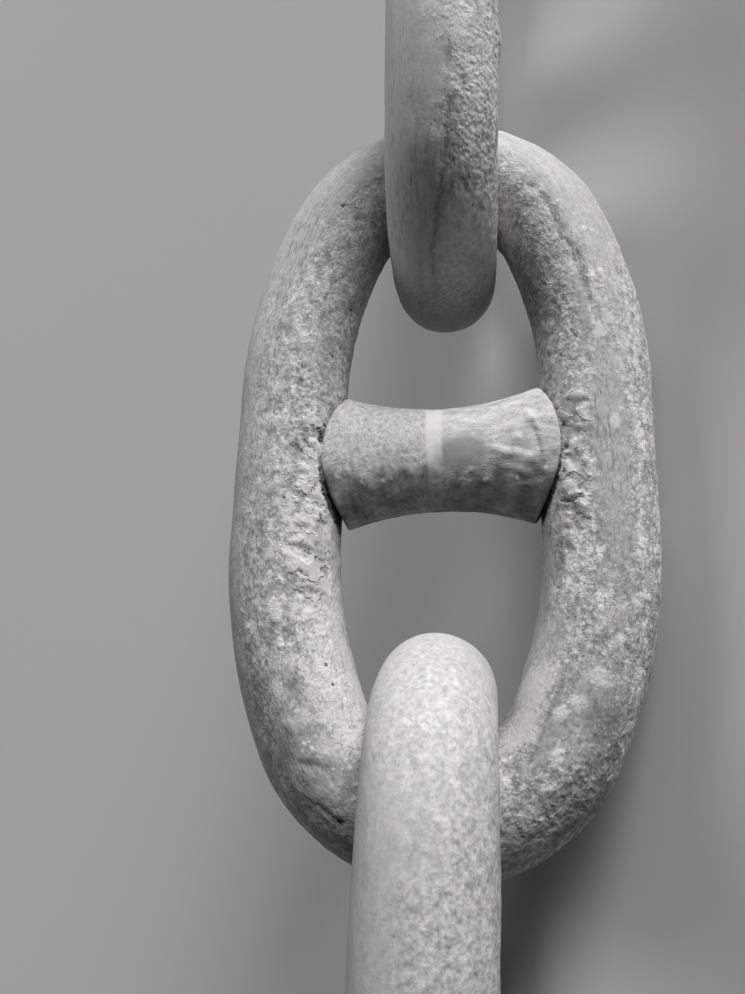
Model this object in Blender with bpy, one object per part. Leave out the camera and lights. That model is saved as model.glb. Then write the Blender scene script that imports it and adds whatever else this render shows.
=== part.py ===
"""A short length of heavy stud-link chain, lying on a level floor.

Each link is one round bar, bent and forge-welded into an oval, with a separate cast stud wedged
across its middle. The chain lies straight along +X and its links lean to alternate sides.
The origin is on the floor, under the centre of the middle link.

In a link's own frame, X runs along the link, Y across it and Z out of its plane.
"""

import math

import bmesh
import bpy

# Bar and link, in metres
BAR_DIAMETER = 0.076
LINK_PITCH = 0.380          # inside length of a link
EYE_CLEARANCE = 0.028       # from a neighbour's bar to each leg, where it passes through the eye
CROWN_CLEARANCE = 0.0085    # by which the inside of a crown's bend is wider in radius than the bar
LEG_STRAIGHT = 0.106        # straight stretch in the middle of each leg
SEAT_GAP = 0.0003           # between pieces that bear on each other

# Stud, in metres
STUD_WAIST_HEIGHT = 0.073
STUD_END_HEIGHT = 0.097
STUD_WAIST_DEPTH = 0.052
STUD_INSET = 0.009          # by which a stud's ends are thinner than the bar, on each side
STUD_SHIFT = 0.0045         # off the link's centre, towards +X
STUD_TILT = math.radians(2.5)

# How the chain lies
LEAN = math.radians(45)

# Facets
BAR_FACETS = 32
CROWN_STEPS = 6
LEG_STEPS = 4
STUD_FACETS = 32
STUD_STEPS = 10
SMOOTH_BELOW = math.radians(40)

# Sizes that follow from those above
BAR_RADIUS = BAR_DIAMETER / 2
CROWN_CENTRE = (LINK_PITCH + BAR_DIAMETER) / 2          # from a link's centre to its crown's bar
LEG_CENTRE = BAR_DIAMETER + EYE_CLEARANCE               # from a link's centre to its leg's bar
CROWN_BEND = BAR_DIAMETER + CROWN_CLEARANCE             # radius of the bar's centreline
LINK_SPACING = LINK_PITCH - SEAT_GAP                    # from one link's centre to the next
AXIS_HEIGHT = LEG_CENTRE * math.sin(LEAN) + BAR_RADIUS  # of the chain's centreline
LEG_INSIDE = LEG_CENTRE - BAR_RADIUS                    # half the width of the eye

# Bodies along the chain: name, which way from the middle link, and which way the link leans
BODIES = (("middle", 0, 1), ("upper", 1, -1), ("lower", -1, -1))


def leg_bend():
    """Radius of the gentle bend between a leg's straight stretch and its crown."""
    run = CROWN_CENTRE - CROWN_BEND - LEG_STRAIGHT / 2
    rise = LEG_CENTRE - CROWN_BEND
    return (run * run + LEG_CENTRE * LEG_CENTRE - CROWN_BEND * CROWN_BEND) / (2 * rise)


def bend_change():
    """Direction, from +X, in which the outline faces where the crown's bend becomes the leg's."""
    run = CROWN_CENTRE - CROWN_BEND - LEG_STRAIGHT / 2
    return math.atan2(leg_bend() - LEG_CENTRE, run)


def tangent_distance(facing):
    """Distance from the link's centre to the centreline's tangent that faces that way."""
    if facing <= bend_change():
        return (CROWN_CENTRE - CROWN_BEND) * math.cos(facing) + CROWN_BEND
    bend = leg_bend()
    return LEG_STRAIGHT / 2 * math.cos(facing) + (LEG_CENTRE - bend) * math.sin(facing) + bend


def facings():
    """Directions of the centreline's straight pieces: one square to each crown and each leg."""
    change = bend_change()
    crown = [change * i / CROWN_STEPS for i in range(CROWN_STEPS)]
    leg = [change + (math.pi / 2 - change) * i / LEG_STEPS for i in range(LEG_STEPS)]
    quarter = [(facing, tangent_distance(facing)) for facing in crown + leg]
    side = (math.pi / 2, LEG_CENTRE)
    second = [(math.pi - facing, distance) for facing, distance in reversed(quarter)]
    half = quarter + [side] + second[:-1]
    return half + [(facing + math.pi, distance) for facing, distance in half]


def centreline():
    """Corners of the link's centreline, each with its outward direction and mitre stretch."""
    lines = facings()
    corners = []
    for index, (facing, distance) in enumerate(lines):
        before, before_distance = lines[index - 1]
        turn = (facing - before) % (2 * math.pi)
        x = (before_distance * math.sin(facing) - distance * math.sin(before)) / math.sin(turn)
        y = (distance * math.cos(before) - before_distance * math.cos(facing)) / math.sin(turn)
        corners.append((x, y, before + turn / 2, 1 / math.cos(turn / 2)))
    return corners


def bar_section(radius):
    """Corners of the bar's faceted section, with flats that touch the circle of that radius."""
    step = 2 * math.pi / BAR_FACETS
    corner = radius / math.cos(step / 2)
    angles = [step * (i + 0.5) for i in range(BAR_FACETS)]
    return [(corner * math.cos(angle), corner * math.sin(angle)) for angle in angles]


def link_mesh(name, radius):
    """A closed oval link of round bar, in its own frame."""
    shape = bmesh.new()
    rings = []
    for x, y, outward, stretch in centreline():
        ring = []
        for out, up in bar_section(radius):
            reach = out * stretch
            ring.append(
                shape.verts.new((x + reach * math.cos(outward), y + reach * math.sin(outward), up))
            )
        rings.append(ring)
    for index, ring in enumerate(rings):
        bridge(shape, rings[index - 1], ring)
    return finished(shape, name)


def bridge(shape, first, second):
    """Four-sided faces between two rings of as many corners."""
    for i in range(len(first)):
        shape.faces.new((first[i - 1], first[i], second[i], second[i - 1]))


def finished(shape, name):
    """A mesh from the shape, with its faces outward and its round sides smooth."""
    bmesh.ops.recalc_face_normals(shape, faces=shape.faces)
    mesh = bpy.data.meshes.new(name)
    shape.to_mesh(mesh)
    shape.free()
    mesh.shade_smooth()
    mesh.set_sharp_from_angle(angle=SMOOTH_BELOW)
    return mesh


def stud_half_sizes(across):
    """Half height and half depth of the stud at a distance across the link from its middle."""
    flare = (across / LEG_INSIDE) ** 2
    end_depth = BAR_DIAMETER - 2 * STUD_INSET
    height = STUD_WAIST_HEIGHT + (STUD_END_HEIGHT - STUD_WAIST_HEIGHT) * flare
    depth = STUD_WAIST_DEPTH + (end_depth - STUD_WAIST_DEPTH) * min(flare, 1)
    return height / 2, depth / 2


def stud_blank_mesh(name):
    """A waisted oval spool that reaches the centres of both legs, before its ends are cut."""
    shape = bmesh.new()
    rings = []
    for step in range(-STUD_STEPS, STUD_STEPS + 1):
        across = LEG_CENTRE * step / STUD_STEPS
        half_height, half_depth = stud_half_sizes(across)
        angles = [2 * math.pi * (i + 0.5) / STUD_FACETS for i in range(STUD_FACETS)]
        rings.append(
            [
                shape.verts.new((half_height * math.cos(a), across, half_depth * math.sin(a)))
                for a in angles
            ]
        )
    for first, second in zip(rings, rings[1:]):
        bridge(shape, first, second)
    shape.faces.new(rings[0])
    shape.faces.new(rings[-1])
    return finished(shape, name)


def painted(name, colour, roughness, metallic):
    """A plain material with the part's own colour and gloss."""
    material = bpy.data.materials.new(name)
    material.use_nodes = True
    shader = material.node_tree.nodes["Principled BSDF"]
    shader.inputs["Base Color"].default_value = (*colour, 1)
    shader.inputs["Roughness"].default_value = roughness
    shader.inputs["Metallic"].default_value = metallic
    return material


def place(name, data, parent, location=(0, 0, 0), turn=0):
    """An object at its place under its parent, turned about its own Z."""
    thing = bpy.data.objects.new(name, data)
    bpy.context.scene.collection.objects.link(thing)
    thing.parent = parent
    thing.location = location
    thing.rotation_euler = (0, 0, turn)
    return thing


def pivot(name, way, lean):
    """The empty that a link hangs on: on the middle link's crown, or at the middle link's centre."""
    empty = bpy.data.objects.new(f"{name}_pivot", None)
    bpy.context.scene.collection.objects.link(empty)
    empty.location = (way * CROWN_CENTRE, 0, AXIS_HEIGHT)
    empty.rotation_euler = (lean * LEAN, 0, 0)
    return empty


def cut(piece, cutter):
    """Takes the cutter's shape out of the piece, and keeps the cutter as a guide only."""
    cutter.hide_render = True
    cutter.display_type = "WIRE"
    boolean = piece.modifiers.new("saddles", "BOOLEAN")
    boolean.operation = "DIFFERENCE"
    boolean.solver = "EXACT"
    boolean.object = cutter


def clear_scene():
    for thing in list(bpy.data.objects):
        bpy.data.objects.remove(thing, do_unlink=True)


def build():
    """The chain: for each body a link, its stud, and the guide that shapes the stud's saddles."""
    clear_scene()
    link_data = link_mesh("link", BAR_RADIUS)
    stud_data = stud_blank_mesh("stud")
    guide_data = link_mesh("saddle_guide", BAR_RADIUS + SEAT_GAP)
    link_data.materials.append(painted("link_paint", (0.40, 0.40, 0.39), 0.62, 0.0))
    stud_data.materials.append(painted("stud_paint", (0.44, 0.44, 0.43), 0.58, 0.0))
    for name, way, lean in BODIES:
        parent = pivot(name, way, lean)
        centre = (way * (LINK_SPACING - CROWN_CENTRE), 0, 0)
        place(f"{name}_link", link_data, parent, centre)
        stud_centre = (centre[0] + STUD_SHIFT, 0, 0)
        stud = place(f"{name}_stud", stud_data, parent, stud_centre, STUD_TILT)
        guide = place(f"{name}_saddle_guide", guide_data, parent, centre)
        cut(stud, guide)


build()
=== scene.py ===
"""The looks of the stud-link chain: thick old grey paint over pitted, scaly forged iron.

Each link is a swept bar with its relief modelled in the mesh, and each stud a waisted casting
with cupped ends. Both take a procedural paint whose wear follows that relief. The paint also
holds painted light and shade: paler towards the light along each link, and darker in hollows,
on one crown tip, under the studs and beside them.

In the frame shared with the solids, the chain lies along X on a floor at Z = 0.

In a link's own frame, X runs along the link, Y across it and Z out of its plane. A place on the
bar is given by its run, the distance along the bar's centreline from the tip of the +X crown
by way of the +Y leg, and by its angle round the bar: 0 faces outward and 90 degrees faces +Z.
"""

import math
from types import SimpleNamespace

import bmesh
import bpy
import numpy as np
from mathutils import Matrix, Vector


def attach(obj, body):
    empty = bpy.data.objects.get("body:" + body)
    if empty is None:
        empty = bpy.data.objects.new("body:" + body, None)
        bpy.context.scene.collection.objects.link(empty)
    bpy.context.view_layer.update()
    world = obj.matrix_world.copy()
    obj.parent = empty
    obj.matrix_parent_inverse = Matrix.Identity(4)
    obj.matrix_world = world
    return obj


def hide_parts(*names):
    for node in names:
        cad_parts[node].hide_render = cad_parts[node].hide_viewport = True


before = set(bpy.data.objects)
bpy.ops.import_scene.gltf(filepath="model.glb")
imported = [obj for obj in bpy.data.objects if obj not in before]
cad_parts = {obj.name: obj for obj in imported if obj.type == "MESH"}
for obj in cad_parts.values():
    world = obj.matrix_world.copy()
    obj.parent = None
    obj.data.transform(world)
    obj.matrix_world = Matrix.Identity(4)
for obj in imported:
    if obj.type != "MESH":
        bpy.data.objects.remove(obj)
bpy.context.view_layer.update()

# Bar and link, in metres, as in the solids
BAR_DIAMETER = 0.076
LINK_PITCH = 0.38
EYE_CLEARANCE = 0.028
CROWN_CLEARANCE = 0.0085
LEG_STRAIGHT = 0.106
SEAT_GAP = 0.0003
BAR_RADIUS = BAR_DIAMETER / 2
CROWN_CENTRE = (LINK_PITCH + BAR_DIAMETER) / 2
LEG_CENTRE = BAR_DIAMETER + EYE_CLEARANCE
CROWN_BEND = BAR_DIAMETER + CROWN_CLEARANCE
LINK_SPACING = LINK_PITCH - SEAT_GAP

# Stud, in metres, as in the solids
STUD_WAIST_HEIGHT = 0.073
STUD_END_HEIGHT = 0.097
STUD_WAIST_DEPTH = 0.052
STUD_INSET = 0.009
STUD_SHIFT = 0.0045
STUD_TILT = math.radians(2.5)

# How the chain lies: each body's way along X from the middle link, and its link's lean
LEAN = math.radians(45)
AXIS_HEIGHT = LEG_CENTRE * math.sin(LEAN) + BAR_RADIUS
BODIES = {"middle": (0, 1), "upper": (1, -1), "lower": (-1, -1)}

# The two bends of the centreline, and how much of a quarter of it each takes up
BEND_RUN = CROWN_CENTRE - CROWN_BEND - LEG_STRAIGHT / 2
LEG_BEND = (BEND_RUN**2 + LEG_CENTRE**2 - CROWN_BEND**2) / (2 * (LEG_CENTRE - CROWN_BEND))
BEND_CHANGE = math.atan2(LEG_BEND - LEG_CENTRE, BEND_RUN)
CROWN_ARC = CROWN_BEND * BEND_CHANGE
LEG_ARC = LEG_BEND * (math.pi / 2 - BEND_CHANGE)
QUARTER = CROWN_ARC + LEG_ARC + LEG_STRAIGHT / 2
LOOP = 4 * QUARTER

# Mesh steps along and round the bar, and along and round the stud
BAR_RUNS = 672
BAR_ANGLES = 144
STUD_RUNS = 150
STUD_ANGLES = 180
STUD_END_RINGS = 16

# Noise: the entries of its table, what brings it to about -1 to 1, how far a cell's centre strays
# from its middle, and a number past every distance
TABLE = 256
NOISE_GAIN = 1.6
CENTRE_STRAYS = 0.45
FAR = 9.0


def smooth(value, low, high):
    """0 below low, 1 above high, and a smooth rise between them."""
    share = np.clip((value - low) / (high - low), 0, 1)
    return share * share * (3 - 2 * share)


def lattice(seed):
    """A shuffled table of numbers, and a unit vector for each."""
    draw = np.random.default_rng(seed)
    vectors = draw.normal(size=(TABLE, 3))
    return draw.permutation(TABLE), vectors / np.linalg.norm(vectors, axis=1, keepdims=True)


def corner_index(cell, order):
    """The table entry of each lattice cell."""
    wrapped = cell % TABLE
    first = order[wrapped[:, 0]]
    second = order[(first + wrapped[:, 1]) % TABLE]
    return order[(second + wrapped[:, 2]) % TABLE]


def noise(points, size, seed, repeat=0):
    """Smooth noise from about -1 to 1. It repeats after that many cells along the first axis."""
    order, vectors = lattice(seed)
    scaled = points / size
    cell = np.floor(scaled).astype(int)
    inside = scaled - cell
    fade = inside**3 * (inside * (inside * 6 - 15) + 10)
    total = np.zeros(len(points))
    for corner in np.ndindex(2, 2, 2):
        at = cell + corner
        if repeat:
            at[:, 0] %= repeat
        vector = vectors[corner_index(at, order)]
        weight = np.prod(np.where(corner, fade, 1 - fade), axis=1)
        total += weight * np.sum(vector * (inside - corner), axis=1)
    return NOISE_GAIN * total


def fractal(points, size, seed, octaves):
    """Noise with finer and weaker noise added, from about -1 to 1."""
    total = sum(noise(points, size / 2**i, seed + i) / 2**i for i in range(octaves))
    return total / (2 - 2 ** (1 - octaves))


def layer(kind, points, seed, octaves=1):
    """One kind of relief, which is given by its height and size."""
    height, size = kind
    return height * fractal(points, size, seed, octaves)


def cells(points, size, seed):
    """Distance to the nearest of scattered centres, in cells, and that centre's own number."""
    order, vectors = lattice(seed)
    scaled = points / size
    cell = np.floor(scaled).astype(int)
    nearest = np.full(len(points), FAR)
    number = np.zeros(len(points))
    for step in np.ndindex(3, 3, 3):
        at = cell + np.array(step) - 1
        index = corner_index(at, order)
        centre = at + 0.5 + CENTRE_STRAYS * vectors[index]
        distance = np.linalg.norm(scaled - centre, axis=1)
        closer = distance < nearest
        nearest = np.where(closer, distance, nearest)
        number = np.where(closer, index / TABLE, number)
    return nearest, number


# Millimetres in a metre
MM = 1000

# The bar. Edges of patches are ragged by a noise of this size and strength, lines along the bar
# and grooves stray by this much, and they narrow at their ends to this share of their width
EDGE_SIZE = 0.014
EDGE_OCTAVES = 4
EDGE_SEED = 3
RAGGED = 0.5
STRAYS = 0.001
GROOVES_STRAY = 0.002
NARROWS = 0.45


def quarter_line(run):
    """x, y and facing of the centreline, from the +X crown's tip to the middle of the +Y leg."""
    in_crown = run / CROWN_BEND
    in_leg = BEND_CHANGE + (run - CROWN_ARC) / LEG_BEND
    zones = [run < CROWN_ARC, run < CROWN_ARC + LEG_ARC]
    crown_x = CROWN_CENTRE - CROWN_BEND + CROWN_BEND * np.cos(in_crown)
    leg_x = LEG_STRAIGHT / 2 + LEG_BEND * np.cos(in_leg)
    leg_y = LEG_CENTRE - LEG_BEND + LEG_BEND * np.sin(in_leg)
    x = np.select(zones, [crown_x, leg_x], QUARTER - run)
    y = np.select(zones, [CROWN_BEND * np.sin(in_crown), leg_y], LEG_CENTRE)
    facing = np.select(zones, [in_crown, in_leg], math.pi / 2)
    return x, y, facing


def centreline(run):
    """x, y and outward facing of the whole loop's centreline at those runs."""
    from_tip = np.minimum(run, LOOP - run)
    x, y, facing = quarter_line(np.minimum(from_tip, 2 * QUARTER - from_tip))
    far = from_tip > QUARTER
    side = np.where(run <= 2 * QUARTER, 1, -1)
    return np.where(far, -x, x), side * y, side * np.where(far, math.pi - facing, facing)


class Bar:
    """The bare surface of a link's round bar: places, ways out and bar coordinates."""

    def __init__(self):
        run = np.arange(BAR_RUNS) * LOOP / BAR_RUNS
        angle = np.arange(BAR_ANGLES) * 2 * math.pi / BAR_ANGLES
        self.run, self.angle = (a.ravel() for a in np.meshgrid(run, angle, indexing="ij"))
        x, y, facing = centreline(self.run)
        out, up = np.cos(self.angle), np.sin(self.angle)
        self.outward = np.stack([out * np.cos(facing), out * np.sin(facing), up], 1)
        self.places = np.stack([x, y, 0 * x], 1) + BAR_RADIUS * self.outward
        self.straight = np.stack([self.run, BAR_RADIUS * out, BAR_RADIUS * up], 1)
        self.degrees = np.degrees(self.angle)
        self.edge_noise = fractal(self.places, EDGE_SIZE, EDGE_SEED, EDGE_OCTAVES)

    def drawn(self, size, stretch, seed, octaves=1):
        """Noise stretched along the bar, which meets itself where the loop closes."""
        count = round(LOOP / stretch / size)
        scaled = self.straight / [LOOP / count, size, size]
        total = sum(noise(scaled * 2**i, 1, seed + i, count * 2**i) / 2**i for i in range(octaves))
        return total / (2 - 2 ** (1 - octaves))

    def turn_from(self, degrees):
        """Angle round the bar from that direction, from -180 to 180 degrees."""
        return (self.degrees - degrees + 180) % 360 - 180

    def run_from(self, run):
        """Distance along the bar from that run, the short way round the loop."""
        return (self.run - run + LOOP / 2) % LOOP - LOOP / 2

    def patch(self, run, degrees, half_length, half_turn, soft):
        """1 inside an oval patch of the surface and 0 outside, with a ragged edge."""
        along = self.run_from(run / MM) / (half_length / MM)
        away = np.hypot(along, self.turn_from(degrees) / half_turn)
        return 1 - smooth(away + RAGGED * self.edge_noise, 1 - soft, 1 + soft)

    def patches(self, group, soft):
        """The strongest of a group of patches at each point."""
        masks = [self.patch(*oval, soft) for oval in group]
        return np.max(masks, axis=0) if masks else np.zeros(len(self.run))

    def spot(self, run, degrees, radius):
        """1 at one place on the bar, falling off to 0 some way past that radius."""
        arc = np.radians(self.turn_from(degrees)) * BAR_RADIUS
        return np.exp(-((np.hypot(self.run_from(run / MM), arc) / (radius / MM)) ** 2))

    def across_path(self, path, half_width, strays=STRAYS):
        """Distance from a line of (run, angle) points, in half widths, which narrow at its ends."""
        best = np.full(len(self.run), FAR)
        share = np.zeros(len(self.run))
        legs = list(zip(path, path[1:]))
        for index, (start, end) in enumerate(legs):
            u = self.run_from(start[0] / MM)
            v = np.radians(self.turn_from(start[1])) * BAR_RADIUS
            du = (end[0] - start[0]) / MM
            dv = math.radians(end[1] - start[1]) * BAR_RADIUS
            t = np.clip((u * du + v * dv) / (du * du + dv * dv), 0, 1)
            distance = np.hypot(u - t * du, v - t * dv)
            closer = distance < best
            best = np.where(closer, distance, best)
            share = np.where(closer, (index + t) / len(legs), share)
        narrowed = NARROWS + (1 - NARROWS) * np.sin(math.pi * np.clip(share, 0.04, 0.96))
        return (best + strays * self.edge_noise) / (half_width / MM * narrowed)


# Marks on the links, all in millimetres and degrees. A patch is (run, angle, half length, half turn)

# Stretches that stayed smooth
SMOOTH = {
    "middle": [
        (190, 18, 190, 42), (350, 16, 120, 36), (430, 8, 70, 34), (65, 60, 50, 44), (120, 50, 60, 34),
        (450, 168, 75, 18), (355, 176, 50, 18), (668, 146, 60, 26), (745, 164, 60, 18),
        (1030, 62, 65, 34), (560, 60, 45, 60), (860, -70, 150, 45), (200, -110, 80, 40),
    ],
    "upper": [
        (730, 48, 110, 44), (690, 14, 34, 20), (650, 58, 80, 34), (568, -5, 42, 80), (900, 100, 100, 50),
        (200, -50, 130, 45), (60, 70, 60, 60),
    ],
    "lower": [
        (930, 68, 110, 28), (1085, 0, 36, 90), (780, 50, 90, 38), (330, -70, 120, 50), (540, 30, 60, 60),
    ],
}

# Plain stretches with only scattered granules
BALD = {
    "middle": [
        (840, 84, 95, 18), (672, 78, 26, 34), (655, 104, 30, 14), (940, 104, 30, 8), (472, 88, 42, 42),
    ],
    "upper": [(615, 20, 30, 30)],
    "lower": [(1045, 20, 30, 40), (960, 34, 50, 16)],
}

# Stretches thick with pale granules
GRANULAR = {
    "middle": [(800, 42, 200, 18), (770, 110, 40, 16), (200, -120, 100, 40)],
    "upper": [(200, 120, 100, 40)],
    "lower": [(850, 110, 100, 40)],
}

# Stretches with fine dark lines along the bar
LINED = {
    "middle": [(330, 69, 150, 13), (215, 76, 60, 10), (850, 88, 80, 10), (140, 70, 80, 20)],
    "upper": [(650, 44, 70, 26), (350, -60, 100, 40)],
    "lower": [(250, 80, 100, 40)],
}

# Stretches whose paint lies thick and softens what is under it
THICK = {
    "upper": [(690, 60, 70, 60), (560, 0, 60, 100)],
    "lower": [(960, 0, 200, 120)],
}

# Blistered scale
SCALY = {
    "middle": [(630, 42, 50, 36), (252, 118, 36, 18), (300, -120, 60, 40)],
    "upper": [(645, -50, 72, 33), (720, -62, 40, 34), (250, 70, 80, 50)],
    "lower": [(780, -40, 70, 40), (350, 110, 80, 50)],
}

# Scale drawn into wrinkles
WRINKLED = {
    "middle": [(628, 62, 42, 40), (252, 120, 34, 20), (940, 118, 35, 14)],
    "upper": [(590, -30, 30, 40)],
    "lower": [(300, 100, 40, 40)],
}

# Paint and scale flaking off in plates
FLAKED = {
    "middle": [(300, 126, 50, 20), (360, 128, 40, 22), (812, 121, 34, 16), (860, 118, 30, 14)],
    "upper": [(280, 125, 45, 22), (815, -128, 45, 18)],
    "lower": [(290, -125, 45, 22), (830, 122, 45, 20)],
}

# Places where the paint is paler
PALE = {
    "middle": [
        (386, 90, 7, 7), (386, 115, 6, 7), (408, 120, 10, 9), (432, 78, 5, 6), (298, 122, 7, 13),
        (312, 132, 7, 8), (331, 132, 6, 13), (346, 110, 5, 10), (677, 92, 5, 10), (667, 105, 5, 6),
        (696, 75, 5, 18), (703, 106, 4, 5), (645, 92, 6, 6), (748, 110, 6, 5), (762, 125, 6, 7),
        (742, 92, 4, 8), (798, 110, 5, 6), (824, 121, 6, 8), (842, 120, 5, 10), (918, 88, 6, 8),
        (967, 100, 5, 5), (855, 79, 4, 5), (198, 108, 5, 7), (430, 140, 80, 40), (330, 128, 45, 26),
        (678, 141, 22, 21), (650, 136, 24, 19),
    ],
    "upper": [(712, -25, 24, 44), (650, 3, 6, 5), (690, -50, 26, 40)],
}

# Places where it is darker
DARK = {
    "middle": [
        (405, 100, 15, 6), (430, 95, 6, 8), (462, 66, 10, 10), (350, 128, 4, 16), (272, 117, 6, 5),
        (635, 50, 30, 26), (655, 48, 12, 16), (768, 138, 12, 6), (440, 58, 24, 12), (461, 76, 6, 5),
        (510, 64, 6, 4), (694, 104, 9, 7), (673, 66, 11, 17),
    ],
}

# Thick paint with dark speckles showing through, like a sponge
SPECKLED = {
    "middle": [(560, 0, 60, 100)],
    "upper": [(250, 60, 120, 60)],
    "lower": [(965, -50, 105, 40), (930, -20, 50, 34), (1045, -8, 45, 60), (300, 60, 150, 60)],
}

# The patches of each mask, and how soft their edges are
PATCHES = {
    "plain": (SMOOTH, 0.5), "bald": (BALD, 0.45), "granular": (GRANULAR, 0.6), "lined": (LINED, 0.5),
    "thick": (THICK, 0.5), "scaly": (SCALY, 0.6), "wrinkled": (WRINKLED, 0.6), "flaked": (FLAKED, 0.5),
    "speckled": (SPECKLED, 0.7), "pale": (PALE, 0.6), "gloomy": (DARK, 0.6),
}

# Painted light and shade: how much paler each link's paint is than a middling grey, at places along its X,
# for how the light falls along the chain
PAINTED_LIGHT_ALONG_X = {
    "middle": [(-0.2, -0.14), (0.2, 0.14)],
    "upper": [(-0.2, 0.12), (0.05, 0.27), (0.2, 0.2)],
    "lower": [(-0.2, -0.06), (0.09, -0.17), (0.14, -0.18), (0.18, -0.05), (0.21, 0.07)],
}

# Cracks: a path of (run, angle) points, with its half width and depth
CRACKS = {
    "middle": [
        ([(805.5, 135), (804, 126), (804.5, 119), (806, 112)], 1.7, 1.8),
        ([(788, 117), (792, 127), (800, 134)], 1.6, 0.5),
        ([(810, 114), (817, 119), (824, 128)], 1.6, 0.5),
        ([(268, 112), (277, 119), (279, 127), (287, 122), (293, 116)], 1.4, 0.7),
        ([(296, 136), (303, 128), (310, 123), (318, 129)], 1.3, 0.7),
        ([(320, 134), (329, 143)], 1.2, 0.8),
        ([(344, 112), (348, 124), (353, 136), (353, 146)], 2.2, 0.6),
        ([(100, 65), (125, 79), (145, 88), (162, 96)], 1.2, 0.3), ([(497, 63), (513, 64)], 1.6, 0.6),
        ([(916, 112), (924, 118)], 1.3, 0.6), ([(975, 90), (992, 98)], 1.3, 0.5),
    ],
}

# Soft dark grooves, in the same way, with how dark each is. The one with no depth is painted shade on the tip
# of the upper link's crown that faces away from the light
GROOVES = {
    "middle": [
        ([(86, 96), (75, 103), (60, 105)], 2.6, 0.3, 0.35),
        ([(475, 74), (480, 82), (484, 88), (488, 91), (493, 89), (498, 86)], 1.6, 0.7, 0.5),
        ([(630, 108), (649, 112), (664, 115), (680, 113), (690, 113), (700, 106), (710, 104)], 2.6, 1, 0.95),
        ([(1041, 98), (1020, 97), (1000, 98), (975, 96), (958, 94), (942, 92)], 4, 0.8, 0.6),
    ],
    "upper": [
        ([(668, -11), (655, -10), (646, -8), (632, -4), (618, 2), (606, 7)], 5, 0.8, 0.66),
        ([(612, 5), (602, 8), (594, 9), (584, 7), (574, 6)], 3.6, 0.5, 0.6),
        ([(596, 20), (586, 22), (575, 24), (556, 25)], 3.4, 0.4, 0.6),
        ([(656, 20), (664, 25), (672, 29)], 6, 0.3, 0.35),
        ([(640, -10), (646, -14), (652, -16)], 4, 0.4, 0.55),
        ([(594, -36), (584, -44), (574, -52)], 11, 0.3, 0.55),
        # Painted shade on the upper link's crown tip, which faces away from the light
        ([(550, -80), (550, 0), (550, 80)], 32, 0, 1.1),
        ([(684, -27), (674, -24), (664, -22)], 2.2, 0.5, 0.7),
        ([(702, -11), (690, -9), (684, -12)], 2.2, 0.5, 0.7),
    ],
}

# Pits: run, angle and radius
PITS = {
    "middle": [
        (267, 133, 4), (263.2, 129, 2.2), (270.5, 131, 2.6), (259, 135, 2), (291.5, 133, 2.2),
        (856, 130, 2.4), (840, 128, 2.6), (312, 98, 1.5), (220, 108, 1.6), (195, 152, 1.8),
        (205, 142, 1.6), (160, 155, 2), (426, 129, 1.8), (440, 130, 1.6), (824, 130, 1.8),
        (746, 137, 1.6), (511, 64, 2.2), (90, 97, 2),
    ],
}

# Lumps that stand proud: run, angle, radius and height
LUMPS = {
    "middle": [
        (798, 110, 4.5, 0.9), (824, 121, 5, 0.9), (842, 119, 4.5, 0.9), (1035, 101, 4, 0.8),
        (1052, 96, 4, 0.6), (350, 176, 6, 1.2), (298, 124, 6, 0.7), (312, 133, 5.5, 0.7),
        (331, 130, 5.5, 0.6), (676, 92, 4, 0.5), (667, 105, 4, 0.5), (258, 136, 5, 0.7),
        (475, 85, 5.5, 0.9), (486, 80, 5.5, 0.9), (481, 72, 4.5, 0.6), (480, 94, 4.5, 0.6),
        (489, 64, 6, 0.6), (453, 76, 3.2, 0.8), (457, 78, 3.2, 0.8), (499, 74, 6, 0.7),
    ],
    "upper": [(716, -88, 10, 2), (649, 3, 3, 0.5)],
    "lower": [(1040, 38, 6, 0.4)],
}

# Heights and sizes of the links' relief. Flakes and lines are stretched along the bar by that much
FORGING = (0.0007, 0.11)
FINER_FORGING = (0.00042, 0.045)
SWELLING = (0.0004, 0.018)
GRANULE, GRANULE_SIZE = 0.0006, 0.0052
BLISTER, BLISTER_SIZE = 0.0004, 0.006
WRINKLE, WRINKLE_SIZE = 0.00045, 0.008
FLAKE, FLAKE_SIZE, FLAKE_STRETCH = 0.0012, 0.015, 0.65
LINE, LINE_SIZE, LINE_STRETCH = 0.00007, 0.0031, 10
PIT = 0.0014

# The radius in millimetres from which a pit is of full depth, the depth from which a crack is as
# black as cracks get, how black that is, and the height of a crack's lips as a share of its depth
FULL_PIT = 3.0
FULL_CRACK = 0.9
CRACK_BLACKNESS = 0.8
CRACK_LIP = 0.4

# How far a link's skin lies under its solid's, and the way along from a crown's tip where another
# link may bear: it stays bare at first, and nothing stands proud up to the reach
SUNK = 0.0009
BEARING_NEAR, BEARING_FAR = 0.02, 0.05
CROWN_REACH = 0.08

# Dirt in the joint and painted shade on the legs beside the stud. Below it, where the stud shades them, they
# are wider, and more so by the +Y leg
SEAM_WIDTH = 0.001
SEAM_WIDTH_BELOW = {1: 0.0036, -1: 0.0017}
SEAM_STRENGTH = 0.45
SEAM_BLACKNESS = 0.85


def stud_seam(bar):
    """Joint dirt, and painted shade on the legs just outside the stud's rim, wider and darker under it."""
    x, y, z = bar.places.T
    half_height, half_depth = stud_half_sizes(np.minimum(abs(y), LEG_CENTRE))
    rise = x - STUD_SHIFT + y * math.tan(STUD_TILT)
    beyond = (np.hypot(rise / half_height, z / half_depth) - 1) * half_height
    below = smooth(-rise, -0.004, 0.03)
    widest = np.where(y > 0, SEAM_WIDTH_BELOW[1], SEAM_WIDTH_BELOW[-1])
    width = SEAM_WIDTH + (widest - SEAM_WIDTH) * below
    strength = SEAM_STRENGTH + (1 - SEAM_STRENGTH) * below
    inward = smooth(-np.cos(bar.angle), 0, 0.2)
    return strength * inward * (1 - smooth(beyond + 0.0006 * bar.edge_noise, 0.3 * width, width))


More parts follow.
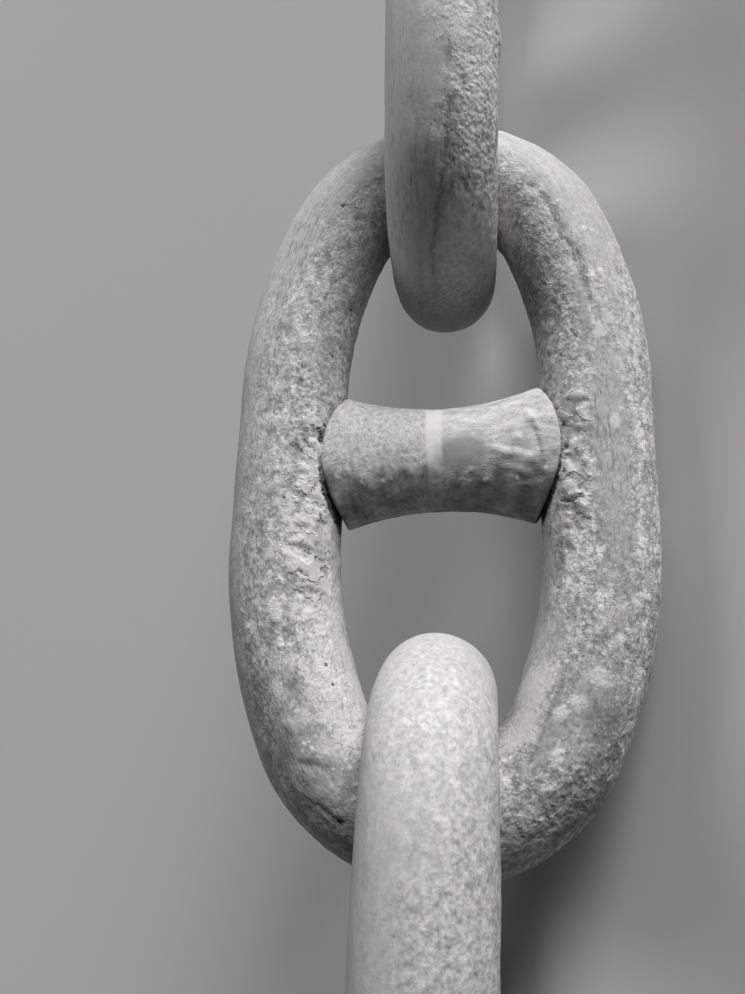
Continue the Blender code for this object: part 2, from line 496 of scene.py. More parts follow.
def paint_masks(bar, name):
    """Where one link's paint is plain, bald, scaly and so on, by the patches above."""
    masks = {mask: bar.patches(groups.get(name, []), soft) for mask, (groups, soft) in PATCHES.items()}
    masks["scaly"] *= 1 - masks["plain"]
    # Painted light and shade along the link
    masks["level"] = np.interp(bar.places[:, 0], *zip(*PAINTED_LIGHT_ALONG_X[name]))
    return masks


def surface_relief(bar, masks, seed):
    """Height of the forged and painted surface, and how far it stands up in plates."""
    places = bar.places
    calm = np.maximum(masks["plain"], np.maximum(0.75 * masks["bald"], 0.5 * masks["thick"]))
    height = layer(FORGING, places, seed) + layer(FINER_FORGING, places, seed + 1)
    height += layer(SWELLING, places, seed + 2) * (1 - 0.8 * calm)
    bumps = fractal(places, GRANULE_SIZE, seed + 3, 2) + 0.25 * masks["pale"] - 0.15 * masks["gloomy"]
    height += GRANULE * smooth(bumps, -0.8, 0.9) * (1 - calm)
    near, number = cells(places, BLISTER_SIZE, seed + 6)
    height += BLISTER * (1 - smooth(near, 0.05, 0.7)) * (0.25 + 0.75 * number) * masks["scaly"]
    ridge = 1 - 3.5 * abs(fractal(places, WRINKLE_SIZE, seed + 7, 2))
    height += WRINKLE * smooth(ridge, 0, 1) * masks["wrinkled"]
    plates = smooth(bar.drawn(FLAKE_SIZE, FLAKE_STRETCH, seed + 9, 3), -0.02, 0.06)
    height += FLAKE * plates * masks["flaked"]
    height += LINE * bar.drawn(LINE_SIZE, LINE_STRETCH, seed + 12)
    return height, plates


def add_marks(bar, name, height, gloomy):
    """The height with pits, cracks, grooves and lumps, the gloom with them, and what is black."""
    black = np.zeros(len(height))
    for run, degrees, radius in PITS.get(name, []):
        hole = bar.spot(run, degrees, radius)
        height = height - PIT * hole * min(radius / FULL_PIT, 1)
        black = np.maximum(black, hole)
    for path, half_width, depth in CRACKS.get(name, []):
        across = bar.across_path(path, half_width)
        groove = 1 - smooth(across, 0.2, 1.5)
        height = height + depth / MM * (CRACK_LIP * np.exp(-((across - 2.0) ** 2)) - groove)
        black = np.maximum(black, CRACK_BLACKNESS * groove * min(depth / FULL_CRACK, 1))
    for path, half_width, depth, darkness in GROOVES.get(name, []):
        groove = np.exp(-(bar.across_path(path, half_width, GROOVES_STRAY) ** 2))
        height = height - depth / MM * groove
        gloomy = np.maximum(gloomy, darkness * groove)
    for run, degrees, radius, rise in LUMPS[name]:
        height = height + rise / MM * bar.spot(run, degrees, radius)
    return height, gloomy, black


def set_back(bar, height):
    """The height moved under the solid's skin, and kept off the places where links bear."""
    tip = np.minimum(abs(bar.run_from(0)), abs(bar.run_from(2 * QUARTER)))
    inward = smooth(-np.cos(bar.angle), -0.3, 0.5)
    bearing = inward * (1 - smooth(tip, BEARING_NEAR, BEARING_FAR))
    height = (height - SUNK) * (1 - bearing)
    return np.where(tip < CROWN_REACH, np.minimum(height, 0), height)


def link_relief(bar, name, seed):
    """Heights over the bare bar and the masks that the paint needs, for one link."""
    masks = paint_masks(bar, name)
    height, plates = surface_relief(bar, masks, seed)
    pale, gloomy = masks.pop("pale"), masks.pop("gloomy")
    height, gloomy, black = add_marks(bar, name, height, gloomy)
    # The seam by the stud: dirt in the joint, and painted shade where the stud shades the leg
    seam = stud_seam(bar)
    gloomy = np.maximum(gloomy, seam)
    masks["tone"] = pale - gloomy + (plates - 0.45) * masks["flaked"]
    masks["black"] = np.maximum(black, SEAM_BLACKNESS * seam)
    return set_back(bar, height), masks


# Steps of blur that give a point's surroundings, and the height over them that counts in full
BAR_STANDING = (12, 0.0005)
STUD_STANDING = (8, 0.0003)


def blurred(values, rows, columns, steps):
    """The grid of values with each one averaged with its neighbours, that many times."""
    grid = values.reshape(rows, columns)
    for _ in range(steps):
        for axis in (0, 1):
            grid = (np.roll(grid, 1, axis) + 2 * grid + np.roll(grid, -1, axis)) / 4
    return grid.ravel()


def standing(height, rows, columns, steps, full):
    """How far each point stands over its surroundings. It is 1 at that full height and above."""
    return np.clip((height - blurred(height, rows, columns, steps)) / full, -1, 1)


def mesh_from(name, places, faces, masks):
    """A smooth-shaded mesh object with a number for each mask at each point."""
    mesh = bpy.data.meshes.new(name)
    mesh.from_pydata(places.tolist(), [], faces.tolist())
    mesh.shade_smooth()
    for mask, values in masks.items():
        attribute = mesh.attributes.new(mask, "FLOAT", "POINT")
        attribute.data.foreach_set("value", values.astype(np.float32))
    piece = bpy.data.objects.new(name, mesh)
    bpy.context.scene.collection.objects.link(piece)
    return piece


def grid_faces(rows, columns, closed_rows):
    """Four-sided faces of a grid that is closed round its columns, and maybe along its rows."""
    row = np.arange(rows if closed_rows else rows - 1)
    i, j = np.meshgrid(row, np.arange(columns), indexing="ij")
    after, beside = (i + 1) % rows, (j + 1) % columns
    corners = [i * columns + j, after * columns + j, after * columns + beside, i * columns + beside]
    return np.stack([c.ravel() for c in corners], 1)


def link_frame(name):
    """The place of a link's own frame in the shared frame."""
    way, lean = BODIES[name]
    place = Matrix.Translation((way * LINK_SPACING, 0, AXIS_HEIGHT))
    return place @ Matrix.Rotation(lean * LEAN, 4, "X")


def moved(places, matrix):
    """The places turned and shifted by a matrix, and kept from sinking into the floor."""
    turn = np.array(matrix.to_3x3())
    there = places @ turn.T + np.array(matrix.translation)
    there[:, 2] = np.maximum(there[:, 2], 0)
    return there


def make_link(name, seed):
    """One link's detailed mesh, in its place."""
    bar = Bar()
    height, masks = link_relief(bar, name, seed)
    places = bar.places + height[:, None] * bar.outward
    masks["raised"] = standing(height, BAR_RUNS, BAR_ANGLES, *BAR_STANDING)
    masks["bar_out"] = bar.straight[:, 1]
    masks["bar_up"] = bar.straight[:, 2]
    round_loop = bar.run * 2 * math.pi / LOOP
    masks["loop_cos"] = LOOP / (2 * math.pi) * np.cos(round_loop)
    masks["loop_sin"] = LOOP / (2 * math.pi) * np.sin(round_loop)
    faces = grid_faces(BAR_RUNS, BAR_ANGLES, True)
    return mesh_from(f"{name}_link_forged", moved(places, link_frame(name)), faces, masks)


# The stud. Its own frame has X up in the photograph, Y across the link and Z towards the camera.
# Its rise is along X, and a place across is along Y. Its ends are named by the sign of their Y

# Rounding of the rims and how far round it goes, play in the seats, the further play below, by
# end, and how far a stud's skin lies under its solid's
STUD_LIP = 0.0026
LIP_ROUND = 0.96
STUD_FIT = 0.0006
STUD_STAND_OFF = {1: 0.003, -1: 0.0012}
STUD_SUNK = 0.0006

# Where the search for a rim starts and ends, its halvings, and the share of an end left to fill
RIM_NEAR, RIM_FAR = 0.03, LEG_CENTRE - 0.002
HALVINGS = 40
END_HOLE = 0.004

# The pale band's place across and its half width, the bare patch's place and half sizes, and how
# far the edges of the stud's patches stray
BAND_AT = 0.0035
BAND_HALF = 0.005
BARE_ACROSS, BARE_RISE = -0.014, -0.002
BARE_HALF_WIDTH, BARE_HALF_HEIGHT = 0.019, 0.014
STUD_EDGES_STRAY = 0.01

# Heights and sizes of the studs' relief. Waves are drawn out across by that much
CAST_BROAD = (0.0006, 0.032)
CAST_MIDDLING = (0.0003, 0.011)
CAST_GRAIN = (0.00022, 0.0042)
CAST_WAVES = (0.00034, 0.0055)
CAST_SCALE = (0.0005, 0.009)
WAVES_DRAWN = [1, 0.4, 1]
LINES_WANDER = (0.0018, 0.006)
SCUFF = 0.0003

# Lumps on the stud's front, in millimetres: rise, across, radius and height
STUD_LUMPS = [
    (23, -58, 3.4, 1.1), (18, -60, 3.2, 1.4), (12, -62.5, 3.2, 1.2), (4, -50, 4, 1.3),
    (-3, -36, 3.4, 1.2), (-6, -42, 4, 1.5), (-7, -50, 4, 1.3), (-10, -57, 3.6, 1.2), (13, 56, 5, 0.7),
    (-18, -17, 1.8, 0.7), (-16, -20, 1.8, 0.7),
]

# Lines on the stud's front, in millimetres: a path of (rise, across) points, half width and height
STUD_LINES = [
    ([(13.5, -60.5), (3, -63.2), (-7, -65.5), (-15, -65.7)], 1.8, -0.8),
    ([(-13, -33.5), (-17.8, -40), (-18.8, -47), (-23.2, -53)], 2, -0.35),
    ([(-23.2, -53), (-24.2, -59), (-22.2, -65)], 2, -0.45),
    ([(-15, -42), (-16, -48), (-20, -56)], 2.4, 0.4),
    ([(-23.7, -11), (-21.3, -14.5), (-22.6, -19), (-25.5, -14)], 1.2, 0.6),
]


def from_line(places, path):
    """Distance over the stud's front from a line of (rise, across) points."""
    best = np.full(len(places), FAR)
    points = np.array(path) / MM
    for start, end in zip(points, points[1:]):
        step = end - start
        away = places[:, :2] - start
        share = np.clip(away @ step / (step @ step), 0, 1)
        best = np.minimum(best, np.linalg.norm(away - share[:, None] * step, axis=1))
    return best


def stud_half_sizes(across):
    """Half height and half depth of the stud at a distance from its middle."""
    flare = (across / (LEG_CENTRE - BAR_RADIUS)) ** 2
    end_depth = BAR_DIAMETER - 2 * STUD_INSET
    height = STUD_WAIST_HEIGHT + (STUD_END_HEIGHT - STUD_WAIST_HEIGHT) * flare
    depth = STUD_WAIST_DEPTH + (end_depth - STUD_WAIST_DEPTH) * np.minimum(flare, 1)
    return height / 2, depth / 2


def seat_reach(height, depth, end):
    """How far across the link an end of a stud reaches at those places, to fit round the leg."""
    loose = STUD_FIT + STUD_STAND_OFF[end] * smooth(-height, 0.01, 0.05)
    return LEG_CENTRE - np.sqrt(np.maximum((BAR_RADIUS + loose) ** 2 - depth**2, 0))


def rim_reach(angle, side):
    """How far from its middle the stud's surface runs before it meets the leg, at each angle."""
    low, high = np.full(len(angle), RIM_NEAR), np.full(len(angle), RIM_FAR)
    for _ in range(HALVINGS):
        middle = (low + high) / 2
        half_height, half_depth = stud_half_sizes(middle)
        height = half_height * np.cos(angle)
        reach = seat_reach(height, half_depth * np.sin(angle), side)
        inside = middle < reach - side * height * math.tan(STUD_TILT)
        low, high = np.where(inside, middle, low), np.where(inside, high, middle)
    return low


def stud_side():
    """The stud's waisted side as a grid of places and ways out, from one end's rim to the other's."""
    angle = np.arange(STUD_ANGLES) * 2 * math.pi / STUD_ANGLES
    plus, minus = rim_reach(angle, 1), rim_reach(angle, -1)
    across = -minus + np.linspace(0, 1, STUD_RUNS)[:, None] * (plus + minus)
    half_height, half_depth = stud_half_sizes(across)
    lip = np.clip(1 - np.minimum(plus - across, across + minus) / STUD_LIP, 0, 1)
    round_off = STUD_LIP * (1 - np.sqrt(1 - LIP_ROUND * lip**2))
    height = (half_height - round_off) * np.cos(angle)
    depth = (half_depth - round_off) * np.sin(angle)
    places = np.stack([height.ravel(), across.ravel(), depth.ravel()], 1)
    out = np.stack([np.cos(angle) / half_height, 0 * across, np.sin(angle) / half_depth], 2)
    return places, (out / np.linalg.norm(out, axis=2, keepdims=True)).reshape(-1, 3)


def stud_end(rim, end):
    """Rings that close one end of the stud with a saddle for the leg, from the rim inwards."""
    rings = []
    for step in range(1, STUD_END_RINGS + 1):
        part = 1 - (1 - END_HOLE) * step / STUD_END_RINGS
        ring = rim * [part, 1, part]
        reach = seat_reach(ring[:, 0], ring[:, 2], end)
        ring[:, 1] = end * reach - ring[:, 0] * math.tan(STUD_TILT)
        rings.append(ring)
    return rings


def stud_masks(places, banded, seed):
    """Where the stud's paint is grainy, streaked, bare, scuffed or banded, and where painted shade lies on
    its lower side.
    """
    rise, across, depth = places.T
    ragged = fractal(places, EDGE_SIZE, seed, EDGE_OCTAVES)
    stray = STUD_EDGES_STRAY * ragged
    front = smooth(depth, -0.004, 0.01) if banded else 1
    # Painted shade on the stud's lower side, away from the light
    under = smooth(-rise + stray, 0.007, 0.021)
    grainy = smooth(across + stray, -0.006, 0.01) * (1 - 0.8 * under)
    streaked = smooth(-across + stray, -0.004, 0.01)
    away = np.hypot((across - BARE_ACROSS) / BARE_HALF_WIDTH, (rise - BARE_RISE) / BARE_HALF_HEIGHT)
    bare = (1 - smooth(away + RAGGED * ragged, 0.6, 1.1)) * front
    half = BAND_HALF + 0.02 * rise
    band = 1 - smooth(abs(across - BAND_AT) + 0.001 * ragged, half - 0.001, half + 0.0008)
    band *= (0.32 + 0.68 * smooth(rise + stray, -0.018, -0.004)) * front if banded else 0
    chips = smooth(fractal(places, 0.006, seed + 20, 3), 0.32, 0.42)
    scuffed = chips * smooth(-rise, 0.006, 0.014) * (1 - smooth(-rise, 0.022, 0.028))
    return {
        "grainy": grainy, "streaked": streaked, "bare": bare, "band": band, "scuffed": scuffed,
        "shaded": under * (0.7 + 0.9 * ragged).clip(0, 1),
    }


def stud_relief(places, masks, seed):
    """Height of the stud's cast surface over its plain shape."""
    front = places[:, 2] > 0
    quiet = 1 - 0.8 * np.maximum(masks["band"], masks["shaded"])
    height = layer(CAST_BROAD, places, seed) + layer(CAST_MIDDLING, places, seed + 1)
    height += layer(CAST_GRAIN, places, seed + 2, 2) * masks["grainy"] * quiet
    waves = layer(CAST_WAVES, places * WAVES_DRAWN, seed + 4, 2)
    height += waves * masks["streaked"] * (1 - 0.8 * masks["bare"]) * quiet
    height += layer(CAST_SCALE, places, seed + 6, 3) * smooth(-places[:, 1], 0.03, 0.046) * quiet
    for rise, across, radius, proud in STUD_LUMPS:
        away = np.hypot(places[:, 0] - rise / MM, places[:, 1] - across / MM)
        height += proud / MM * np.exp(-((away / (radius / MM)) ** 2)) * front
    wander = layer(LINES_WANDER, places, seed + 30, 2)
    for path, half_width, proud in STUD_LINES:
        away = from_line(places, path) + wander
        height += proud / MM * np.exp(-((away / (half_width / MM)) ** 2)) * front
    height += SCUFF * masks["scuffed"]
    return height - STUD_SUNK


def make_stud(name, seed):
    """One stud's detailed mesh, in its place."""
    places, out = stud_side()
    masks = stud_masks(places, name == "middle", seed)
    relief = stud_relief(places, masks, seed + 10)
    places = places + relief[:, None] * out
    masks["raised"] = standing(relief, STUD_RUNS, STUD_ANGLES, *STUD_STANDING)
    first = stud_end(places[:STUD_ANGLES], -1)
    last = stud_end(places[-STUD_ANGLES:], 1)
    every = np.concatenate(first[::-1] + [places] + last)
    padding = (STUD_END_RINGS * STUD_ANGLES,) * 2
    masks = {mask: np.pad(values, padding) for mask, values in masks.items()}
    masks["rise"] = every[:, 0]
    masks["across"] = every[:, 1]
    masks["depth"] = every[:, 2]
    faces = grid_faces(len(every) // STUD_ANGLES, STUD_ANGLES, False)[:, ::-1]
    tilt = Matrix.Translation((STUD_SHIFT, 0, 0)) @ Matrix.Rotation(STUD_TILT, 4, "Z")
    piece = mesh_from(f"{name}_stud_cast", moved(every, link_frame(name) @ tilt), faces, masks)
    close_holes(piece.data)
    return piece


def close_holes(mesh):
    """Fills the tiny holes left at the middles of the stud's ends."""
    shape = bmesh.new()
    shape.from_mesh(mesh)
    bmesh.ops.holes_fill(shape, edges=shape.edges, sides=STUD_ANGLES)
    bmesh.ops.recalc_face_normals(shape, faces=shape.faces)
    shape.to_mesh(mesh)
    shape.free()
    mesh.shade_smooth()


def grey(level, warmth=0.01):
    """A grey colour, a touch warmer or cooler."""
    return (level * (1 + warmth), level, level * (1 - warmth), 1)


# The paints' greys, from the lightest to the black of the pits, and their gloss
LIGHTEST_PAINT = grey(0.7)
PALE_PAINT = grey(0.66)
DULL_PAINT = grey(0.3)
BARE_METAL = grey(0.21)
DARKEST_PAINT = grey(0.19)
DEEP_PAINT = grey(0.15)
# Painted shade, for the studs' lower sides
PAINTED_UNDERSIDE_SHADE = grey(0.105)
HOLE = grey(0.012)
ROUGHNESS = 0.5
ROUGHNESS_VARIES = 0.2
SPECULAR = 0.35

# Sizes of the paints' textures
MOTTLE, PEEL, HAIRLINE, CLUSTER, BROAD, FINE = 0.0078, 0.0025, 0.0012, 0.012, 0.07, 0.0009
GRAIN, SMALL_GRAIN, BREAK, SPONGE, LEDGE = 0.0044, 0.0021, 0.0019, 0.0036, 0.01
STREAK, STUD_PEEL, STUD_PIT, STUD_FINE = 0.006, 0.0034, 0.0024, 0.0008


class Value:
    """A number from a node, to be added to others, taken from them and multiplied with them."""

    def __init__(self, paint, socket):
        self.paint = paint
        self.socket = socket

    def __add__(self, other):
        return self.paint.math("ADD", self, other)

    def __sub__(self, other):
        return self.paint.math("SUBTRACT", self, other)

    def __rsub__(self, other):
        return self.paint.math("SUBTRACT", other, self)

    def __mul__(self, other):
        return self.paint.math("MULTIPLY", self, other)

    __radd__ = __add__
    __rmul__ = __mul__


class Paint:
    """A node material, with short ways to add its nodes."""

    def __init__(self, name):
        self.material = bpy.data.materials.new(name)
        self.material.use_nodes = True
        self.tree = self.material.node_tree
        self.shader = self.tree.nodes["Principled BSDF"]

    def add(self, kind, inputs=None, **settings):
        """A node of that kind. An input is a number, a colour or another node's output."""
        node = self.tree.nodes.new(f"ShaderNode{kind}")
        for setting, value in settings.items():
            setattr(node, setting, value)
        for key, value in (inputs or {}).items():
            self.feed(node.inputs[key], value)
        return node

    def feed(self, socket, value):
        """Sets a socket, or links it to another node's output."""
        if isinstance(value, Value):
            value = value.socket
        if isinstance(value, bpy.types.NodeSocket):
            self.tree.links.new(value, socket)
        else:
            socket.default_value = value

    def mask(self, name):
        """One of the mesh's own numbers."""
        return Value(self, self.add("Attribute", attribute_name=name).outputs["Fac"])

    def math(self, operation, a, b):
        """The result of an operation on two numbers."""
        return Value(self, self.add("Math", {0: a, 1: b}, operation=operation).outputs[0])

    def step(self, value, low, high):
        """0 at low and 1 at high, smooth between."""
        inputs = {"Value": value, "From Min": low, "From Max": high}
        node = self.add("MapRange", inputs, interpolation_type="SMOOTHSTEP")
        return Value(self, node.outputs["Result"])

    def place(self):
        """The place on the piece."""
        return self.add("TexCoord").outputs["Object"]

    def noise(self, size, detail=2.0, rough=0.5, vector=None, w=None):
        """Noise from 0 to 1 of that size, over the piece's own places or over a vector."""
        inputs = {"Scale": 1 / size, "Detail": detail, "Roughness": rough}
        inputs["Vector"] = self.place() if vector is None else vector
        flat = w is None
        if not flat:
            inputs["W"] = w
        node = self.add("TexNoise", inputs, noise_dimensions="3D" if flat else "4D")
        return Value(self, node.outputs["Fac"])

    def granules(self, size, density, slope=0.55):
        """Round grains, each 1 at its top. The density sets how many show and how wide they are."""
        shift = self.add("TexNoise", {"Vector": self.place(), "Scale": 1 / size, "Detail": 1.0})
        from_middle = {0: shift.outputs["Color"], 1: (0.5, 0.5, 0.5)}
        bend = self.add("VectorMath", from_middle, operation="SUBTRACT").outputs[0]
        scaled = self.add("VectorMath", {0: bend, "Scale": 0.9 * size}, operation="SCALE").outputs[0]
        vector = self.add("VectorMath", {0: self.place(), 1: scaled}, operation="ADD").outputs[0]
        grains = self.add("TexVoronoi", {"Vector": vector, "Scale": 1 / size})
        pick = self.add("SeparateXYZ", {0: grains.outputs["Color"]}).outputs[0]
        radius = (Value(self, pick) + density - 0.6) * 0.85
        return self.step(grains.outputs["Distance"], radius, radius - slope)

    def mix(self, share, first, second):
        """The first colour where the share is 0 and the second where it is 1."""
        inputs = {"Factor": share, 6: first, 7: second}
        return self.add("Mix", inputs, data_type="RGBA").outputs[2]

    def layered(self, colour, layers):
        """The colour with others laid over it in turn. Each has a share, a strength and its colour."""
        for share, strength, top in layers:
            colour = self.mix(share * strength, colour, top)
        return colour

    def bumps(self, layers):
        """A normal with all of those heights and distances in it."""
        under = {}
        for height, distance in layers:
            bump = self.add("Bump", {"Height": height, "Distance": distance, **under})
            under = {"Normal": bump.outputs["Normal"]}
        return under["Normal"]

    def coat(self, colour, fine, normal):
        """Puts the colour and the normal on the shader, with a gloss that varies finely."""
        self.feed(self.shader.inputs["Base Color"], colour)
        self.feed(self.shader.inputs["Roughness"], ROUGHNESS_VARIES * fine + ROUGHNESS)
        self.shader.inputs["Specular IOR Level"].default_value = SPECULAR
        self.feed(self.shader.inputs["Normal"], normal)


def along_bar(paint, size, stretch, detail=2.0, rough=0.5):
    """Noise stretched along the bar, with no seam round it or along it."""
    slow = 1 / stretch
    inputs = {"X": paint.mask("bar_out"), "Y": paint.mask("bar_up"), "Z": slow * paint.mask("loop_cos")}
    vector = paint.add("CombineXYZ", inputs).outputs[0]
    return paint.noise(size, detail, rough, vector, slow * paint.mask("loop_sin"))


def link_textures(paint):
    """The link paint's masks and the textures made from them, by name."""
    masks = (
        "raised", "plain", "bald", "tone", "scaly", "black", "lined", "thick", "wrinkled", "flaked",
        "granular", "speckled", "level",
    )
    tex = SimpleNamespace(**{mask: paint.mask(mask) for mask in masks})
    tex.calm = paint.math("MAXIMUM", tex.plain, 0.75 * tex.bald)
    tex.peel = along_bar(paint, PEEL, 1.5, 1.5, 0.7) - 0.5
    tex.lines = along_bar(paint, HAIRLINE, 7)
    tex.broad = paint.noise(BROAD, 3.0)
    tex.fine = paint.noise(FINE)
    tex.breaks = paint.noise(BREAK, 2.0, 0.6)
    tex.holes = tex.black + 1.6 * (tex.breaks - 0.5)

    clusters = 1.3 * (paint.noise(CLUSTER) - 0.5)
    density = 0.64 + clusters + 0.2 * tex.tone - 0.55 * tex.calm
    coarse, small = paint.granules(GRAIN, density), paint.granules(SMALL_GRAIN, density)
    shown = (1 - 0.9 * tex.thick) * (1 - 0.5 * tex.scaly) * (1 - 0.7 * tex.lined)
    shown *= (1 + 0.5 * tex.granular) * (1 - 0.6 * tex.flaked)
    tex.grains = paint.math("MAXIMUM", coarse, 0.8 * small) * shown

    blistered = paint.math("MAXIMUM", tex.scaly, 0.55 * tex.wrinkled)
    tex.blisters = (paint.noise(SPONGE, 0.8) - 0.5) * blistered
    tex.speckles = (paint.noise(SPONGE, 1.5, 0.6) - 0.5) * (0.18 * tex.thick + tex.speckled)
    contrast = (1 - 0.7 * tex.calm) * (1 - 0.6 * tex.thick) * (1 - 0.45 * tex.flaked)
    tex.mottling = (along_bar(paint, MOTTLE, 1.3, 3.0, 0.86) - 0.5) * contrast
    tex.ledges = paint.step(paint.noise(LEDGE, 2.6), 0.46, 0.54) * tex.flaked
    return tex


def link_colour(paint, tex):
    """The link paint's grey, from its textures."""
    # tex.level is painted light and shade along the link
    grain = 0.36 + tex.level + 0.42 * tex.grains + 2.2 * tex.mottling + 1.3 * tex.blisters
    grain += 0.12 * tex.thick + 0.95 * tex.speckles
    grain += tex.peel * (1 - 0.8 * tex.thick) * (1 - 0.4 * tex.calm)
    dark_lines = paint.step(tex.lines, 0.48, 0.34) * (0.75 * tex.lined + 0.25) * (1 - 0.5 * tex.thick)
    broken = 0.7 * paint.step(tex.breaks, 0.38, 0.62) + 0.65
    patchy = tex.tone * broken + 2.5 * tex.mottling + 0.38 * tex.ledges
    return paint.layered(paint.mix(grain, DARKEST_PAINT, LIGHTEST_PAINT), (
        (paint.step(tex.broad, 0.35, 0.65), 0.18, DULL_PAINT),
        (dark_lines, 0.72, DEEP_PAINT),
        # Darker in the hollows: painted shade, with grime
        (paint.step(tex.raised, -0.15, -0.95), 0.3, DEEP_PAINT),
        (paint.step(patchy, 0.1, 1.0), 0.55, PALE_PAINT),
        # Darker patches and grooves, with painted shade on the upper link's crown tip and beside the studs
        (paint.step(patchy, -0.15, -1.05), 0.62, DEEP_PAINT),
        # Black pits and cracks, and the seams by the studs: dirt in the joints with painted shade below the
        # studs
        (paint.step(tex.holes, 0.45, 0.85), 0.95, HOLE),
    ))


def link_normal(paint, tex):
    """The link paint's fine relief, from its textures."""
    return paint.bumps((
        (0.16 * tex.grains + 1.1 * tex.blisters, 0.0012),
        (tex.lines * (0.7 * tex.lined + 0.3), 0.00026),
        (paint.step(tex.holes, 0.8, 0.35) + tex.mottling + tex.speckles, 0.0006),
        (tex.peel * (1 - 0.6 * tex.thick) * (1 - 0.5 * tex.calm) * (1 - 0.5 * tex.flaked), 0.00065),
        (tex.ledges, 0.00065),
        (tex.fine, 0.00006),
    ))


def link_paint():
    """Thick weathered paint on the forged links, with painted light and shade along each link, and painted
    shade in hollows, beside the studs and on one crown.
    """
    paint = Paint("weathered_link_paint")
    tex = link_textures(paint)
    paint.coat(link_colour(paint, tex), tex.fine, link_normal(paint, tex))
    return paint.material


def stud_paint():
    """The same paint, thinner, on the cast studs, with painted shade on their lower sides and painted
    highlights on what stands up.
    """
    paint = Paint("weathered_stud_paint")
    masks = ("raised", "grainy", "streaked", "bare", "band", "scuffed", "shaded")
    raised, grainy, streaked, bare, band, scuffed, shaded = (paint.mask(mask) for mask in masks)
    inputs = {"X": paint.mask("rise"), "Y": 0.36 * paint.mask("across"), "Z": paint.mask("depth")}
    drawn = paint.noise(STREAK, 4.0, 0.92, paint.add("CombineXYZ", inputs).outputs[0])
    peel = paint.noise(STUD_PEEL, 2.0, 0.8)
    fine = paint.noise(STUD_FINE)

    pits = paint.granules(STUD_PIT, 0.55)
    loud = (1 - 0.7 * bare) * (1 - 0.45 * shaded) * (1 - 0.7 * band)
    uneven = peel * (1 - streaked) + drawn * streaked - 0.5
    grain = 0.5 + uneven * loud * (0.4 * streaked + 1.4) - 0.12 * pits * loud
    colour = paint.layered(paint.mix(grain, DARKEST_PAINT, LIGHTEST_PAINT), (
        # Paler where the surface stands up and darker in its hollows: painted highlight and painted shade
        (paint.step(raised, 0.15, 0.95), 0.3, PALE_PAINT),
        (paint.step(raised, -0.15, -0.95), 0.4, DEEP_PAINT),
        (bare, 0.8, BARE_METAL),
        # Painted shade on the stud's lower side
        (shaded, 0.9 - 1.2 * uneven, PAINTED_UNDERSIDE_SHADE),
        (scuffed, 0.55, PALE_PAINT),
        (band, 0.62, PALE_PAINT),
    ))
    paint.coat(colour, fine, paint.bumps(((grain * (grainy + streaked), 0.0004), (fine, 0.0001))))
    return paint.material


# Stage. The photo's right, up and towards the camera, in the shared frame
CHAIN_CENTRE = Vector((0, 0, AXIS_HEIGHT))
PHOTO_RIGHT = Vector((0, -math.cos(LEAN), -math.sin(LEAN)))
PHOTO_UP = Vector((1, 0, 0))
PHOTO_NEAR = Vector((0, -math.sin(LEAN), math.cos(LEAN)))

# The camera's place in bar diameters, along the photo's axes, its turns in radians, its lens, and
# the nearest that it sees, in metres
CAMERA_PLACE = (0.3647, -2.6188, 7.7458)
CAMERA_PITCH = -0.2902
CAMERA_YAW = -0.1246
CAMERA_ROLL = -0.0387
FOCAL_PIXELS = 912.8
FRAME_HEIGHT = 994
SENSOR = 36.0
NEAREST = 0.01

# The world's light along the photograph's upward axis: from and to which direction, and how strong
WORLD_RAMP = {"From Min": 0.0, "From Max": 0.85, "To Min": 0.01, "To Max": 0.5}

# Soft lights: way to them along the photo's axes, width in degrees and strength
LIGHTS = {"key": ((0.21, 0.84, 0.53), 26, 4.25), "side": ((-0.88, 0.42, 0.18), 34, 0.95)}

# The floor's half size, its grey and its roughness
FLOOR_HALF = 80.0
FLOOR_GREY = 0.5
FLOOR_ROUGHNESS = 0.8


def in_photo_axes(right, up, near):
    """A direction given by the photo's own axes, in the shared frame."""
    return right * PHOTO_RIGHT + up * PHOTO_UP + near * PHOTO_NEAR


def make_camera():
    """The photograph's viewpoint: close to the middle link, and looking up along the chain."""
    turn = Matrix.Rotation(CAMERA_ROLL, 3, "Z") @ Matrix.Rotation(CAMERA_PITCH, 3, "X")
    rows = turn @ Matrix.Rotation(CAMERA_YAW, 3, "Y")
    columns = Matrix([in_photo_axes(*row) for row in rows]).transposed()
    data = bpy.data.cameras.new("photo_camera")
    data.sensor_width = SENSOR
    data.lens = FOCAL_PIXELS / FRAME_HEIGHT * SENSOR
    data.clip_start = NEAREST
    camera = bpy.data.objects.new("photo_camera", data)
    bpy.context.scene.collection.objects.link(camera)
    place = CHAIN_CENTRE + BAR_DIAMETER * in_photo_axes(*CAMERA_PLACE)
    camera.matrix_world = Matrix.Translation(place) @ columns.to_4x4()
    bpy.context.scene.camera = camera


def make_light(name, direction, degrees_wide, strength):
    """A broad soft light from that direction."""
    data = bpy.data.lights.new(name, "SUN")
    data.angle = math.radians(degrees_wide)
    data.energy = strength
    light = bpy.data.objects.new(name, data)
    bpy.context.scene.collection.objects.link(light)
    light.location = CHAIN_CENTRE + direction
    light.rotation_mode = "QUATERNION"
    light.rotation_quaternion = direction.to_track_quat("Z", "Y")


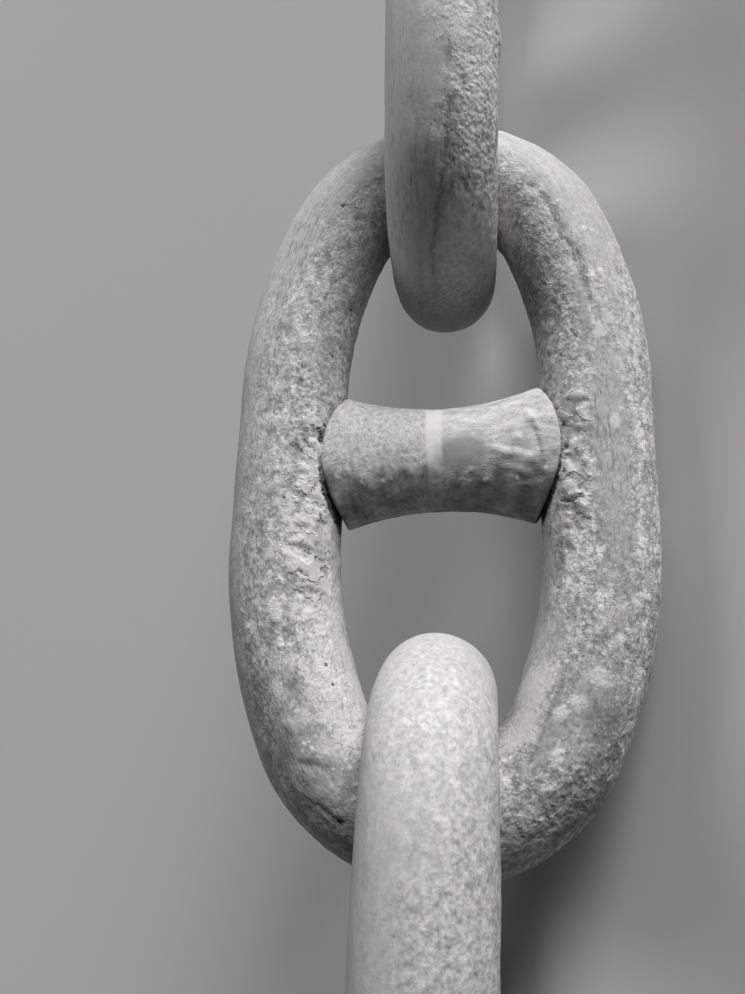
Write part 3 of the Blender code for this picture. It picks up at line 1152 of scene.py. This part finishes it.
def make_floor():
    """A plain pale floor."""
    mesh = bpy.data.meshes.new("floor")
    ways = ((-1, -1), (1, -1), (1, 1), (-1, 1))
    mesh.from_pydata([(FLOOR_HALF * x, FLOOR_HALF * y, 0) for x, y in ways], [], [(0, 1, 2, 3)])
    floor = bpy.data.objects.new("floor", mesh)
    bpy.context.scene.collection.objects.link(floor)
    paint = Paint("pale_floor")
    paint.shader.inputs["Base Color"].default_value = grey(FLOOR_GREY, 0)
    paint.shader.inputs["Roughness"].default_value = FLOOR_ROUGHNESS
    mesh.materials.append(paint.material)


def make_world():
    """White light that is strongest from the photo's top."""
    world = bpy.data.worlds.new("studio")
    world.use_nodes = True
    nodes, links = world.node_tree.nodes, world.node_tree.links
    kinds = ("TexCoord", "SeparateXYZ", "MapRange")
    way, split, ramp = (nodes.new(f"ShaderNode{kind}") for kind in kinds)
    links.new(way.outputs["Generated"], split.inputs[0])
    links.new(split.outputs[0], ramp.inputs["Value"])
    for socket, value in WORLD_RAMP.items():
        ramp.inputs[socket].default_value = value
    background = nodes["Background"]
    background.inputs["Color"].default_value = (1, 1, 1, 1)
    links.new(ramp.outputs["Result"], background.inputs["Strength"])
    bpy.context.scene.world = world


def make_stage():
    """The world, the floor, the lights and the camera."""
    bpy.context.scene.view_settings.view_transform = "Standard"
    make_world()
    make_floor()
    for name, (way, degrees_wide, strength) in LIGHTS.items():
        make_light(name, in_photo_axes(*way), degrees_wide, strength)
    make_camera()


# Seeds of each piece's relief
LINK_SEEDS = {"middle": 100, "upper": 140, "lower": 180}
STUD_SEEDS = {"middle": 300, "upper": 320, "lower": 340}


def dress():
    """A detailed piece for each link and stud, riding on its body."""
    link_material, stud_material = link_paint(), stud_paint()
    for name in BODIES:
        link = make_link(name, LINK_SEEDS[name])
        link.data.materials.append(link_material)
        stud = make_stud(name, STUD_SEEDS[name])
        stud.data.materials.append(stud_material)
        for piece, node, slot in ((link, f"{name}_link", "link_paint"), (stud, f"{name}_stud", "stud_paint")):
            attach(piece, name)
            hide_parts(node)


dress()
make_stage()
